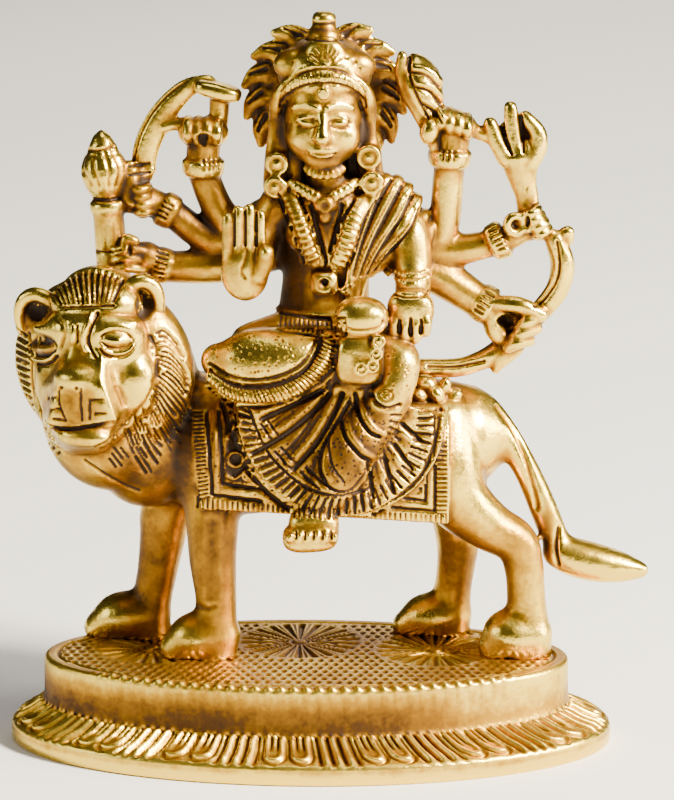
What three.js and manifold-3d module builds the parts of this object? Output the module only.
// A cast brass group: an eight-armed goddess seated sideways on a standing lion, on an oval
// plinth of its own. Millimetres, +Z up, the viewer at -Y. The origin is the middle of the
// plinth's underside.
import * as THREE from "three";
import { mergeVertices } from "three/addons/utils/BufferGeometryUtils.js";
import Module from "manifold-3d";

// Driving sizes
const FIGURE_HEIGHT = 100; // from the lion's soles to the top of the crown
const PLINTH_HEIGHT = 13.4;
const FLANGE_EDGE = 3.2; // height of the flange's plain outer edge
const LEAF_RISE = 3; // how far the leaf moulding climbs from that edge to the drum
const FLANGE_REACH = 5.9; // how far the flange stands out beyond the drum
const PAW_MARGIN = 3.6; // plinth left bare outside the outermost paws
const LEAF_PAIRS = 16; // pairs of round leaves round the flange
const BRASS = { color: 0xc39a4c, roughness: 0.32, metalness: 1 };

// The figure is drawn in hundredths of its own height, with the soles at zero.
const SHARE = FIGURE_HEIGHT / 100;
const PAW_REACH = 37; // the farthest paw, sideways from the plinth's middle
const PAW_DEPTH = 17; // the farthest paw, back from the plinth's middle
const DRUM_HALF_LENGTH = PAW_REACH * SHARE + PAW_MARGIN;
const DRUM_HALF_DEPTH = PAW_DEPTH * SHARE + PAW_MARGIN * 0.66;

const wasm = await Module();
wasm.setup();

const DEPTH = new THREE.Vector3(0, 1, 0);
const UP = new THREE.Vector3(0, 0, 1);
const SIDES = [-1, 1];
const rad = THREE.MathUtils.degToRad;
const mix = THREE.MathUtils.lerp;
const range = (count) => Array.from({ length: count }, (_, i) => i);
const spread = (count, from, to) => range(count).map((i) => mix(from, to, i / (count - 1)));

// How much wider a polygon is drawn so that it fills the area of the circle it stands for.
const fullness = (sides) => Math.sqrt((2 * Math.PI) / sides / Math.sin((2 * Math.PI) / sides));

// A closed geometry as a manifold solid, with its seams merged.
function solid(geometry) {
  const bare = geometry.clone();
  bare.deleteAttribute("normal");
  bare.deleteAttribute("uv");
  const merged = mergeVertices(bare, 1e-4);
  return new wasm.Manifold(
    new wasm.Mesh({
      numProp: 3,
      vertProperties: merged.attributes.position.array,
      triVerts: new Uint32Array(merged.index.array),
    }),
  );
}

function geometryOf(made) {
  const mesh = made.getMesh();
  return new THREE.BufferGeometry()
    .setAttribute("position", new THREE.BufferAttribute(mesh.vertProperties, 3))
    .setIndex(new THREE.BufferAttribute(mesh.triVerts, 1));
}

const fuse = (solids) => solids.reduce((all, one) => all.add(one));

function reshape(geometry, place) {
  const positions = geometry.getAttribute("position");
  const v = new THREE.Vector3();
  for (let i = 0; i < positions.count; i++) {
    v.fromBufferAttribute(positions, i);
    place(v);
    positions.setXYZ(i, v.x, v.y, v.z);
  }
  return geometry;
}

// An ellipsoid whose poles face the viewer before it is turned, in degrees about X, Y and Z.
// `ripple` raises every other meridian into a ridge, as locks lie.
function ball(at, radii, { turn = [0, 0, 0], sides = 8, rows, ripple = 0 } = {}) {
  const geometry = new THREE.SphereGeometry(1, sides, rows ?? Math.max(4, Math.round(sides * 0.5)));
  reshape(geometry, (v) => {
    const meridian = Math.round((Math.atan2(v.z, v.x) / (2 * Math.PI)) * sides);
    const ridge = (1 + (meridian % 2 === 0 ? ripple : -ripple)) * fullness(sides);
    v.set(v.x * ridge * radii[0], v.y * radii[1], v.z * ridge * radii[2]);
  });
  geometry.applyMatrix4(new THREE.Matrix4().makeRotationFromEuler(new THREE.Euler(...turn.map(rad))));
  geometry.translate(...at);
  geometry.scale(SHARE, SHARE, SHARE);
  return solid(geometry);
}

// A limb through stations [x, y, z, half width, half depth]. `flat` is the direction in which
// the half depth is measured, and `dome` is how far the rounded ends go beyond the stations.
function limb(stations, { sides = 6, flat = DEPTH, dome = 0.6 } = {}) {
  const full = stations.map(([x, y, z, a, b = a]) => ({ p: new THREE.Vector3(x, y, z), a, b }));
  const beyond = (end, next) => {
    const out = end.p.clone().sub(next.p).setLength(Math.min(end.a, end.b) * dome);
    return { p: end.p.clone().add(out), a: end.a * 0.55, b: end.b * 0.55 };
  };
  if (dome > 0) {
    const last = full.length - 1;
    const start = beyond(full[0], full[1]);
    const end = beyond(full[last], full[last - 1]);
    full.unshift(start);
    full.push(end);
  }
  const frames = full.map((station, i) => {
    const before = full[Math.max(0, i - 1)].p;
    const after = full[Math.min(full.length - 1, i + 1)].p;
    const along = after.clone().sub(before).normalize();
    const depth = flat.clone().addScaledVector(along, -flat.dot(along)).normalize();
    return { ...station, depth, side: along.clone().cross(depth) };
  });
  const geometry = new THREE.CylinderGeometry(1, 1, 1, sides, full.length - 1);
  reshape(geometry, (v) => {
    const f = frames[Math.round((v.y + 0.5) * (full.length - 1))];
    const across = f.a * v.x * fullness(sides);
    const deep = f.b * v.z * fullness(sides);
    v.copy(f.p).addScaledVector(f.side, across).addScaledVector(f.depth, deep).multiplyScalar(SHARE);
  });
  return solid(geometry);
}

// A row of beads along a curve, as one limb that swells at every bead.
function beads(points, count, radius, sides = 4) {
  const curve = new THREE.CatmullRomCurve3(points.map((p) => new THREE.Vector3(...p)));
  const stations = spread(2 * count + 1, 0, 1).map((t, i) => [
    ...curve.getPointAt(t).toArray(),
    radius * (i % 2 ? 1 : 0.68),
  ]);
  return limb(stations, { sides, dome: 0 });
}

// A turned form: profile points [radius, height] round an axis from `foot` towards `tip`.
function turned(profile, foot, tip, sides = 7) {
  const points = profile.map(([r, h]) => new THREE.Vector2(r * fullness(sides) * SHARE, h * SHARE));
  const geometry = new THREE.LatheGeometry(points, sides);
  const axis = new THREE.Vector3(...tip).sub(new THREE.Vector3(...foot)).normalize();
  geometry.applyQuaternion(new THREE.Quaternion().setFromUnitVectors(DEPTH, axis));
  geometry.translate(...foot.map((c) => c * SHARE));
  return solid(geometry);
}
const disc = (at, radius, thick, sides = 6) => {
  const [x, y, z] = at;
  const profile = [[0, 0], [radius, 0], [radius * 0.8, thick], [0, thick]];
  return turned(profile, at, [x, y - 1, z], sides);
};

// A flat outline [x, z], standing upright, between two depths.
function plate(outline, front, back) {
  const shape = new THREE.Shape(outline.map(([x, z]) => new THREE.Vector2(x * SHARE, z * SHARE)));
  const geometry = new THREE.ExtrudeGeometry(shape, {
    depth: (back - front) * SHARE,
    bevelEnabled: false,
  });
  geometry.rotateX(Math.PI / 2);
  geometry.translate(0, back * SHARE, 0);
  return solid(geometry);
}

// A slab bent from a box: `place` maps shares across, through and along it to a point.
function slab(columns, rows, place) {
  const geometry = new THREE.BoxGeometry(1, 1, 1, columns, 1, rows);
  reshape(geometry, (v) => v.copy(place(v.x + 0.5, v.y + 0.5, v.z + 0.5)).multiplyScalar(SHARE));
  return solid(geometry);
}

// A closed hand round a shaft: one limb across the knuckles, swelling at each of four fingers.
function fist([x, y, z], size, tilt = 0) {
  const line = new THREE.Vector3(Math.cos(rad(tilt)), 0, Math.sin(rad(tilt)));
  const knuckles = spread(9, -1, 1).map((u, i) => [
    x + line.x * u * size * 1.05,
    y - (i % 2 ? 0.12 * size : 0),
    z + line.z * u * size * 1.05,
    size * (i % 2 ? 1.04 : 0.92),
    size * (i % 2 ? 0.92 : 0.78),
  ]);
  return limb(knuckles, { sides: 4, dome: 0 });
}

// The lion's head has its own frame: across, towards the viewer, up.
const HEAD_AT = new THREE.Vector3(-31.5, -5.6, 46.4);
const HEAD_TURN = [7, -4, -18];
const HEAD_MATRIX = new THREE.Matrix4().makeRotationFromEuler(new THREE.Euler(...HEAD_TURN.map(rad)));
function onHead(across, forward, up) {
  return new THREE.Vector3(across, -forward, up).applyMatrix4(HEAD_MATRIX).add(HEAD_AT).toArray();
}
const headBall = (at, radii, options = {}) => ball(onHead(...at), radii, { turn: HEAD_TURN, ...options });
const headLimb = (stations, options) =>
  limb(stations.map(([u, f, w, ...r]) => [...onHead(u, f, w), ...r]), options);

function lionHead() {
  const forms = [
    headBall([0, 0, -0.6], [9.5, 7.7, 11.5], { sides: 10 }),
    headBall([0, 7.2, -5.4], [5.9, 5.4, 4.9]),
    headBall([0, 6.2, -9.9], [5.2, 4.6, 2.4]),
    headLimb([[0, 5.6, 7, 2.6, 1.6], [0, 8.8, 2, 2.7, 2.2], [0, 11.6, -2.6, 3.6, 2]], { dome: 0.3 }),
    ...SIDES.map((s) => headBall([s * 5.8, 6, 4.2], [2.6, 1.5, 1.5], { sides: 7 })),
    ...SIDES.map((s) =>
      headLimb([[s * 2.4, 6.8, 5.8, 1.2], [s * 5.2, 6, 7.6, 1.3], [s * 8.4, 3.2, 6.4, 1]], { sides: 4 }),
    ),
    headBall([-8.4, -0.6, 9.9], [3.3, 2.6, 3.1]),
    headBall([7.9, -0.6, 11.3], [3.5, 2.6, 3.9]),
  ];
  const fringe = slab(9, 2, (across, through, along) => {
    const front = through < 0.5;
    const ridge = front ? (Math.round(across * 9) % 2 ? 0.6 : 0) : -3;
    const fall = 2.6 * (2 * across - 1) ** 2;
    const [forward, up] = [[5, 8.6], [4, 11.6], [-1.6, 14]][Math.round(along * 2)];
    return new THREE.Vector3(
      ...onHead(mix(-6, 6, across), forward + ridge, up + (front ? ridge : -2.4) - fall * along),
    );
  });
  const earHollows = [
    headBall([-8.4, 2, 9.8], [1.9, 2, 1.7], { sides: 6 }),
    headBall([7.9, 2, 11.2], [1.9, 2, 2.3], { sides: 6 }),
  ];
  return { forms: [...forms, fringe], earHollows };
}

// The mane is two masses of locks, one round the face and one down the neck, over the chest.
function mane() {
  return [
    headBall([-0.9, -3.4, -0.6], [14.7, 7.8, 14.4], { sides: 18, rows: 6, ripple: 0.04 }),
    ball([-26.8, 3.4, 39.6], [10, 9.2, 15], { sides: 14, rows: 6, ripple: 0.04 }),
    ball([-30.4, 0, 38], [10.8, 8.4, 12]),
    ball([-25.4, 3.2, 33.4], [9, 8.8, 10.8]),
  ];
}

function lion() {
  const body = limb(
    [
      [-22, 3.4, 32.6, 8, 7.5], [-17, 3.8, 32.4, 11.2, 9.4], [-10, 4.2, 32.2, 11, 9.6],
      [0, 4.8, 31.8, 9.8, 9], [13, 5.4, 32.4, 10, 9], [20.4, 6, 33, 10.2, 9], [22.6, 6.2, 33.4, 8.4, 8],
    ],
    { sides: 10 },
  );
  const legs = [
    [
      [-15.6, 1, 31, 6, 5], [-15.2, -0.4, 24, 4.6, 4.6], [-15, -1.3, 15.6, 3.7, 3.8],
      [-14.4, -1.5, 8.6, 3.2, 3.4], [-14.5, -1.5, -1, 3.4, 3.7],
    ],
    [
      [-20, 8, 30, 5, 5], [-23, 9, 19, 4, 4], [-24.2, 9.5, 12, 3.4, 3.5], [-25.3, 9.5, 6, 3, 3.3],
      [-25.6, 9.5, -1, 3.2, 3.5],
    ],
    [
      [20.2, 2.4, 37, 5.2, 5], [20.4, 0.8, 30.5, 5.8, 5.4], [22.6, 0.2, 24.6, 5.1, 5],
      [28, 0.4, 20.2, 4, 4.2], [32.4, 0.8, 17, 3.5, 3.7], [33, 0.8, 11.6, 3.1, 3.3],
      [33.7, 0.8, -1, 3.5, 3.7],
    ],
    [
      [22, 9, 33, 6, 5], [22.4, 11, 23, 4.8, 4.4], [22.7, 12.3, 14, 3.4, 3.5], [22, 12.6, 7, 3, 3.2],
      [21.6, 12.6, -1, 3.3, 3.5],
    ],
  ].map((stations) => limb(stations));
  const paws = [
    [[-14.8, -1.5, 4.2, 4.2, 4.3], [-18.3, -1.5, 3.2, 4.3, 4.4], [-21.2, -1.5, 1.7, 2.9, 3.6]],
    [[-26.4, 9.5, 4.2, 4.2, 4.1], [-30.6, 9.7, 3.2, 4.2, 4.2], [-33.8, 9.9, 1.7, 2.9, 3.6]],
    [[33.8, 0.6, 3.6, 4.2, 4.3], [30.8, 0.4, 3, 4.6, 4.6], [28.2, 0.3, 1.9, 3.2, 3.9]],
    [[21.6, 12.6, 3.4, 4.2, 3.9], [17.8, 12.7, 2.7, 3.9, 4], [14.8, 12.8, 1.5, 2.7, 3.5]],
  ].map((stations) => limb(stations));
  const tail = [
    [20.5, 6, 39.6, 3], [26.2, 5.6, 38, 2.4], [30, 5.2, 33.2, 2.2], [33.2, 5, 27.4, 2.2],
    [35.4, 5, 22.6, 2.2], [37.6, 5, 17.4, 2.5],
  ];
  const tuft = [
    [37.6, 5, 15.4, 2.7, 2.3], [42.6, 5, 14.5, 3.7, 2.8], [47.4, 5, 13.3, 3.3, 2.4], [52.3, 5, 12.3, 1, 1],
  ];
  const head = lionHead();
  return fuse([body, ...legs, ...paws, limb(tail), limb(tuft), ...mane(), ...head.forms]).subtract(
    fuse(head.earHollows),
  );
}

// The saddle cloth is a blanket over the lion's back, with a raised border round both flanks.
const CLOTH = { left: -17, right: 21.3, border: 1.8, middle: 4.9, half: 10.1, top: 43.4, foot: 24.4 };
function saddleCloth() {
  const { left, right, border, middle, half, top, foot } = CLOTH;
  const columns = [left, left + border, left + border + 0.3, right - border - 0.3, right - border, right];
  const turns = [-90, -90, -89, -66, -28, 28, 66, 89, 90, 90];
  return slab(5, 9, (across, through, along) => {
    const column = Math.round(across * 5);
    const row = Math.round(along * 9);
    const fromEnd = Math.min(row, 9 - row);
    const framed = column < 2 || column > 3 || fromEnd < 2;
    const outer = through < 0.5;
    const reach = outer ? half + (framed ? 0.5 : 0) : half * 0.5;
    const arch = top - 9 + (outer ? 9 + (framed ? 0.5 : 0) : 5) * Math.cos(rad(turns[row]));
    const z = [foot, foot + border, foot + border + 0.3][fromEnd] ?? arch;
    const x = columns[column];
    return new THREE.Vector3(x, middle + reach * Math.sin(rad(turns[row])), z - (x - left) * 0.056);
  });
}

// The skirt is a fan of pleats from the lap to a curved hem, fullest over the hanging shin.
const LAP = { x: 6, z: 44, from: 188, to: 342, pleats: 10 };
function skirt() {
  const { x, z, from, to, pleats } = LAP;
  const steps = [0.1, 0.5, 0.88, 1];
  return slab(2 * pleats, 3, (across, through, along) => {
    const angle = mix(to, from, across);
    const reach = 19.6 - 4.4 * ((angle - 265) / 77) ** 2;
    const share = steps[Math.round(along * 3)];
    const fold = Math.round(across * 2 * pleats) % 2 ? 0.55 : -0.45;
    const swell = 3.4 * Math.exp(-(((angle - 258) / 40) ** 2));
    const band = share > 0.9 ? 0.4 : 0;
    const front = -5.9 - swell * (0.4 + 0.6 * share) - fold * Math.min(1, share * 1.4) - band;
    const r = reach * share;
    return new THREE.Vector3(x + r * Math.cos(rad(angle)), through < 0.5 ? front : -3.4, z + r * Math.sin(rad(angle)));
  });
}

function goddessBody() {
  const torso = limb(
    [
      [2, 3.8, 45, 9, 6.5], [2, 3.8, 52.4, 7.2, 5], [2.1, 3.8, 52.8, 7.8, 5.5],
      [2.1, 3.8, 54.4, 7.6, 5.4], [2.2, 3.8, 54.8, 6.7, 4.6], [2.5, 3.6, 61, 6.8, 4.4],
      [2.8, 3.3, 66, 7.7, 4.9], [3.2, 3.2, 69.5, 8.8, 4.8], [3.6, 3.4, 72.2, 8.2, 4],
      [3.2, 3.4, 74, 4.6, 3.2],
    ],
    { sides: 8 },
  );
  const bust = [-0.9, 6.4].map((x) => ball([x, -0.4, 66.6], [2.8, 2.2, 2.7], { sides: 7 }));
  const rightThigh = [
    [-14.2, -5, 47.4, 2.6, 3], [-10, -5.3, 47.2, 5.2, 4.5], [-4, -5.2, 47.2, 5.8, 4.9],
    [1, -4.4, 47.6, 5, 4.8], [5, -3.4, 48, 3.6, 4],
  ];
  const hip = [[1, 3, 50, 5.6], [-8.5, -1.6, 49, 4.2]];
  const leftThigh = [[5, 1.5, 49.5, 5], [11, -3.5, 49.4, 4.6], [15.2, -6, 48.2, 3.9]];
  const calf = [[15.6, -6.6, 47.6, 3.3], [14.2, -7.6, 44.4, 3.1], [12.2, -8.2, 41.4, 2.6]];
  const shin = [[12, -7.2, 41, 3], [6, -8, 33, 3.2], [1.6, -8.6, 26, 2.8], [1, -8.8, 22.4, 2.6]];
  const kneeHem = spread(6, 0, 1).map((t) => {
    const sag = 1.7 * Math.sin(Math.PI * t);
    return [mix(-13.4, 4.8, t), -7.8 - sag, 43.8 - sag + 2.2 * t ** 3, 1, 1.5];
  });
  return [
    torso,
    ...bust,
    limb(rightThigh, { sides: 9 }),
    limb(hip),
    limb(leftThigh, { sides: 8, flat: UP }),
    limb(calf, { sides: 7 }),
    limb(shin),
    limb(kneeHem, { sides: 5 }),
    ball([0.8, -9.6, 22], [4.1, 3.5, 2.7], { turn: [90, 0, 0] }),
    beads([[-3.2, -12, 21.3], [0.8, -12.7, 21.1], [4.8, -12, 21.3]], 5, 1.1, 4),
  ];
}

// The drape over her left shoulder: folds fanning from the shoulder to the waist.
function drape() {
  return spread(4, 0, 1).map((t) =>
    limb(
      [
        [mix(7.6, 13.6, t), mix(0, 3, t), mix(73.6, 71, t ** 2), 0.8],
        [mix(6.8, 12, t), mix(-1.9, 0, t), mix(67, 65.6, t), 0.9],
        [mix(5.4, 8.8, t), mix(-0.6, 1.6, t), mix(58, 57.2, t), 0.8],
      ],
      { sides: 4, dome: 0 },
    ),
  );
}

function jewellery() {
  return [
    beads([[-3.6, 2, 72.2], [-2.6, -1.4, 69.2], [-1, -2.2, 65], [1.4, -1.6, 60.4]], 6, 1.3),
    beads([[8.6, 1.4, 72.2], [7, -1.6, 69], [5.4, -2.2, 65], [3, -1.6, 60.4]], 6, 1.3),
    beads([[-1.2, 1, 75.2], [0, -0.6, 73], [2, -1.2, 72.2], [4, -0.6, 73], [5.4, 1, 75.2]], 5, 0.85),
    disc([2.2, 0, 58.3], 2.3, 2.2),
    disc([2.1, 0, 70.4], 1.6, 2.4, 6),
  ];
}

// The face is plain and calm, on even proportions.
const FACE = { x: 1.8, y: 2, z: 82.2 };
function goddessHead() {
  const { x, y, z } = FACE;
  const crown = [
    [0, 0], [6.4, 0], [7, 1.8], [6.8, 3.8], [4.6, 7.2], [3, 8.1], [3.1, 9.6], [2.2, 10.2], [2.1, 12],
    [0, 13.4],
  ];
  const brim = spread(6, -95, 95).map((a) => [
    x + 6.4 * Math.sin(rad(a)),
    y + 0.8 - 5.8 * Math.cos(rad(a)),
    z + 5.4 - 2.8 * (1 - Math.cos(rad(a))),
    1.1,
    1,
  ]);
  const ears = [-4.3, 7.9].flatMap((ex) => [
    ball([ex, 1.6, 80.6], [1, 1.5, 3.2], { sides: 5 }),
    disc([ex + Math.sign(ex) * 0.6, 2.4, 76.8], 2.1, 2.6, 7),
    disc([ex + Math.sign(ex) * 0.4, 2.4, 73.4], 1.8, 2.8, 6),
  ]);
  return [
    ball([x, y, z], [5.6, 5.7, 7.2], { sides: 10, rows: 7 }),
    limb([[2.6, 3.2, 72, 3], [2, 2.8, 77.4, 2.5]]),
    limb([[x, y - 5, z + 1.6, 0.7], [x, y - 6, z - 1.4, 1]], { sides: 4, dome: 0.4 }),
    ball([x, y - 5, z - 3.3], [1.5, 0.8, 0.6], { sides: 6 }),
    ball([x, y - 4, z - 5.2], [1.6, 1.4, 1.3], { sides: 5 }),
    ...[-2.3, 2.3].map((u) => ball([x + u, y - 4.7, z + 0.9], [1.4, 0.7, 0.55], { sides: 5 })),
    disc([x, y - 4, z + 4.2], 1, 1.4, 6),
    turned(crown, [1.9, 3, 86.6], [2.1, 3, 100], 10),
    ball([x + 0.2, y - 3.4, z + 9], [2.6, 1.8, 2.9], { sides: 6 }),
    limb(brim, { sides: 4, flat: UP }),
    ...ears,
  ];
}

// Flames round the halo, from low on one side over the top to low on the other.
const HALO = { x: 2, z: 86.2, valley: 9.6, tip: 13, flames: 13, from: -44, to: 228, front: 6.4, back: 8.8 };
function halo() {
  const { x, z, valley, tip, flames, from, to, front, back } = HALO;
  const step = (to - from) / (flames - 1);
  const point = (r, angle) => [x + r * Math.cos(rad(angle)), z + r * Math.sin(rad(angle))];
  const outline = spread(flames, from, to).flatMap((a) => [
    point(valley, a - step / 2),
    point(tip - 0.6, a - step * 0.2),
    point(tip, a + step * 0.08),
  ]);
  const foot = [point(valley, to + step / 2), point(6, 255), point(6, 285)];
  return [plate([...outline, ...foot], front, back)];
}

// Arms as shoulder, elbow, wrist and palm with their half widths. A bangle rings each wrist.
const ARMS = {
  raisedPalm: [[-4.8, 2.8, 70.6, 3.6], [-7.8, 2, 65, 2.9], [-9, -1, 60.6, 2.6], [-9.6, -4, 61.6, 2.2]],
  discus: [[-4.4, 4.8, 69.6, 3.2], [-12.2, 5.2, 66.6, 2.7], [-16.3, 5, 75.4, 2.5], [-16.3, 5, 80.4, 2.6]],
  sword: [[-3.6, 5.4, 67, 3], [-14.6, 5.4, 63.8, 2.6], [-21.6, 5.5, 68.4, 2.3], [-25.2, 5.4, 70.6, 2.2]],
  mace: [[-3, 5.4, 63.4, 3], [-12, 5.6, 60.4, 2.9], [-22.4, 5.2, 59.8, 2.5], [-26, 5, 61, 2.3]],
  jar: [[11.2, 3.2, 70, 4], [14.8, 2, 66.4, 3.5], [15.7, 0, 60.4, 2.9], [15.5, -4.4, 55, 2.7]],
  conch: [[11, 5, 68.6, 3], [19.4, 5.4, 64.2, 2.6], [21.1, 5, 76.2, 2.5], [21.4, 5, 81.6, 2.6]],
  trident: [[11, 5.4, 66, 3], [19.6, 5.6, 62.8, 2.8], [28.7, 5.2, 64.2, 2.3], [32.8, 5, 66.4, 2.1]],
  bow: [[10, 5.4, 63, 3], [19.2, 5.6, 58.8, 2.9], [26.2, 5.2, 54.6, 2.5], [30.4, 5, 51.8, 2.6]],
};
const BANGLE = { wide: 3, proud: 0.8 };
function arms() {
  return Object.values(ARMS).map(([shoulder, elbow, wrist, palm]) => {
    const middle = new THREE.Vector3(...wrist);
    const along = new THREE.Vector3(...palm).sub(middle).normalize();
    const ring = (way, grow) => [
      ...middle.clone().addScaledVector(along, way).toArray(),
      wrist[3] + grow,
    ];
    const half = BANGLE.wide / 2;
    return limb(
      [shoulder, elbow, ring(-half - 0.2, 0), ring(-half, BANGLE.proud), ring(half, BANGLE.proud), palm],
      { sides: 5, dome: 0.3 },
    );
  });
}

function hands() {
  const tips = [69.6, 70.7, 71, 70.3];
  return [
    ball([-9.6, -4.6, 62.2], [3.5, 1.9, 4.8], { rows: 5 }),
    ...spread(4, -12.3, -7.4).map((x, i) =>
      limb([[x, -4.9, 63.6, 1], [x + 0.1, -5.3, tips[i], 0.9]], { sides: 4, dome: 0.8 }),
    ),
    limb([[-7.2, -5.2, 60.8, 1.2], [-6.4, -5.6, 65.4, 0.9]], { sides: 4 }),
    fist([15.6, -5.4, 54.2], 3.2, 4),
    fist([-16.3, 4.8, 81], 3.4, 4),
    fist([-26, 5.2, 70.6], 2.8, 80),
    fist([-26, 4.8, 61.2], 2.7, 88),
    fist([21.8, 4.8, 82.2], 3.4, -20),
    fist([33.4, 4.8, 67], 3.4, -70),
    fist([32.6, 4.8, 50.8], 3.4, 66),
  ];
}

function attributes() {
  const blade = [
    [-26.4, 5.8, 74, 2, 1], [-25.6, 5.8, 78.6, 2.2, 0.9], [-24, 5.8, 82.2, 2.1, 0.9],
    [-21.8, 5.8, 85.4, 1.9, 0.9], [-19, 5.6, 87.6, 1.5, 0.9], [-15.6, 5.4, 88.4, 0.9, 0.9],
  ];
  const mace = [
    [0, 0], [2.4, 0], [2, 1.8], [2.1, 9.6], [2.8, 10.6], [2.2, 12.4], [3.7, 16], [3, 19.4], [0, 23.4],
  ];
  const conch = [
    [0, 0], [2.2, 3], [3.1, 7.4], [2.1, 9.6], [1.6, 11.4], [0, 13.6],
  ];
  const jar = [
    [0, 0], [2.2, 0], [2.9, 1.6], [2.9, 5], [3.9, 8.6], [3.2, 11.4], [0, 12.6],
  ];
  const bow = [
    [37.4, 5, 64.4, 1.6], [38.6, 5, 61, 1.8], [38, 5, 57.4, 1.8], [35.8, 5, 54.4, 1.8], [32, 5, 50.2, 1.7],
    [28.2, 5, 46.6, 1.8], [25.2, 4.8, 45.2, 1.6], [22, 4.6, 44.4, 1.6], [17, 4, 44.6, 1.5],
  ];
  const prongs = [
    [[30.4, 4.8, 76.6, 1.5], [28.2, 4.8, 80.4, 1.3], [27.6, 4.8, 82.2, 1]],
    [[31.8, 4.6, 77, 1.4], [30.6, 4.6, 81.6, 1.2], [30.1, 4.6, 84.6, 1]],
    [[33, 4.8, 76.8, 1.6], [34, 4.8, 80.4, 1.4], [32.9, 4.8, 83.2, 1]],
  ];
  return [
    turned([[0, 0], [3.8, 0], [4.6, 0.9], [4.4, 2.4], [0, 2.4]], [-14.9, 5, 86], [-14.4, 4.2, 89], 10),
    limb(blade, { sides: 4 }),
    limb([[-28, 5.6, 74.4, 1, 1.4], [-23.4, 5.6, 75, 1, 1.4]], { sides: 5 }),
    limb([[-19, 5.4, 83, 1], [-24, 5.6, 82, 1]], { sides: 4 }),
    turned(mace, [-30.3, 4.6, 58.2], [-31.9, 4.6, 81.4]),
    turned(conch, [19.2, 4.8, 80], [14.7, 4.8, 93.4]),
    limb([[24, 5, 81.4, 1.2], [28.4, 5, 80.8, 1.3]], { sides: 4 }),
    limb([[33.4, 5, 66, 1.5], [32.9, 5, 72, 1.6], [32.2, 5, 76, 2]]),
    ball([31.8, 4.8, 77.6], [3.3, 1.7, 2.8]),
    ...prongs.map((stations) => limb(stations, { sides: 5 })),
    limb(bow, { sides: 5 }),
    ball([38.8, 5, 65.4], [1.6, 1.5, 1.6], { sides: 6 }),
    turned(jar, [7.4, -6.6, 46.2], [8.2, -6.4, 58.6]),
    beads([[10.2, -7.2, 53], [10.2, -7.2, 49.6], [9, -7, 45.6]], 3, 1.9, 4),
    beads([[17.4, 1, 43], [19.4, 0.6, 41], [22.4, 1.6, 40.4]], 3, 2, 5),
  ];
}

// Everything below the soles is cut away, so the paws stand flat.
function figure() {
  const whole = fuse([
    lion(),
    saddleCloth(),
    skirt(),
    ...goddessBody(),
    ...drape(),
    ...jewellery(),
    ...goddessHead(),
    ...halo(),
    ...arms(),
    ...hands(),
    ...attributes(),
  ]);
  const below = new THREE.BoxGeometry(200 * SHARE, 200 * SHARE, 20 * SHARE).translate(0, 0, -10 * SHARE);
  return whole.subtract(solid(below));
}

// The plinth is turned, then lengthened by a straight step that keeps each margin the same all
// round. Its leaf moulding swells and sinks with the angle: two leaves, then a narrow rib.
function plinth() {
  const drum = DRUM_HALF_DEPTH;
  const rim = drum + FLANGE_REACH;
  const shoulder = FLANGE_EDGE + LEAF_RISE;
  const profile = [
    [0, 0], [rim, 0], [rim, FLANGE_EDGE - 0.4], [rim - 0.5, FLANGE_EDGE],
    [mix(rim, drum, 0.2), FLANGE_EDGE + LEAF_RISE * 0.2], [mix(rim, drum, 0.62), FLANGE_EDGE + LEAF_RISE * 0.5],
    [drum + 0.4, shoulder], [drum, shoulder], [drum, PLINTH_HEIGHT - 0.5], [drum - 0.5, PLINTH_HEIGHT],
    [0, PLINTH_HEIGHT],
  ];
  const steps = 5 * LEAF_PAIRS;
  const swell = [0.5, -0.35, 0.5, -0.35, 0.1];
  const geometry = new THREE.LatheGeometry(profile.map(([r, h]) => new THREE.Vector2(r, h)), steps);
  geometry.rotateX(Math.PI / 2);
  const longer = DRUM_HALF_LENGTH - DRUM_HALF_DEPTH;
  reshape(geometry, (v) => {
    const r = Math.hypot(v.x, v.y);
    const step = Math.round((Math.atan2(v.y, v.x) / (2 * Math.PI)) * steps + steps);
    if (r > drum + 0.5 && v.z > FLANGE_EDGE + 0.1 && v.z < shoulder) v.z += swell[step % 5];
    if (r > 0) v.x *= (r + longer) / r;
  });
  return solid(geometry);
}

function piece(name, made) {
  const mesh = new THREE.Mesh(geometryOf(made), new THREE.MeshStandardMaterial(BRASS));
  mesh.name = name;
  return mesh;
}

const group = new THREE.Group();
const rider = piece("goddess_on_lion", figure());
rider.position.z = PLINTH_HEIGHT;
group.add(piece("plinth", plinth()), rider);

export default group;
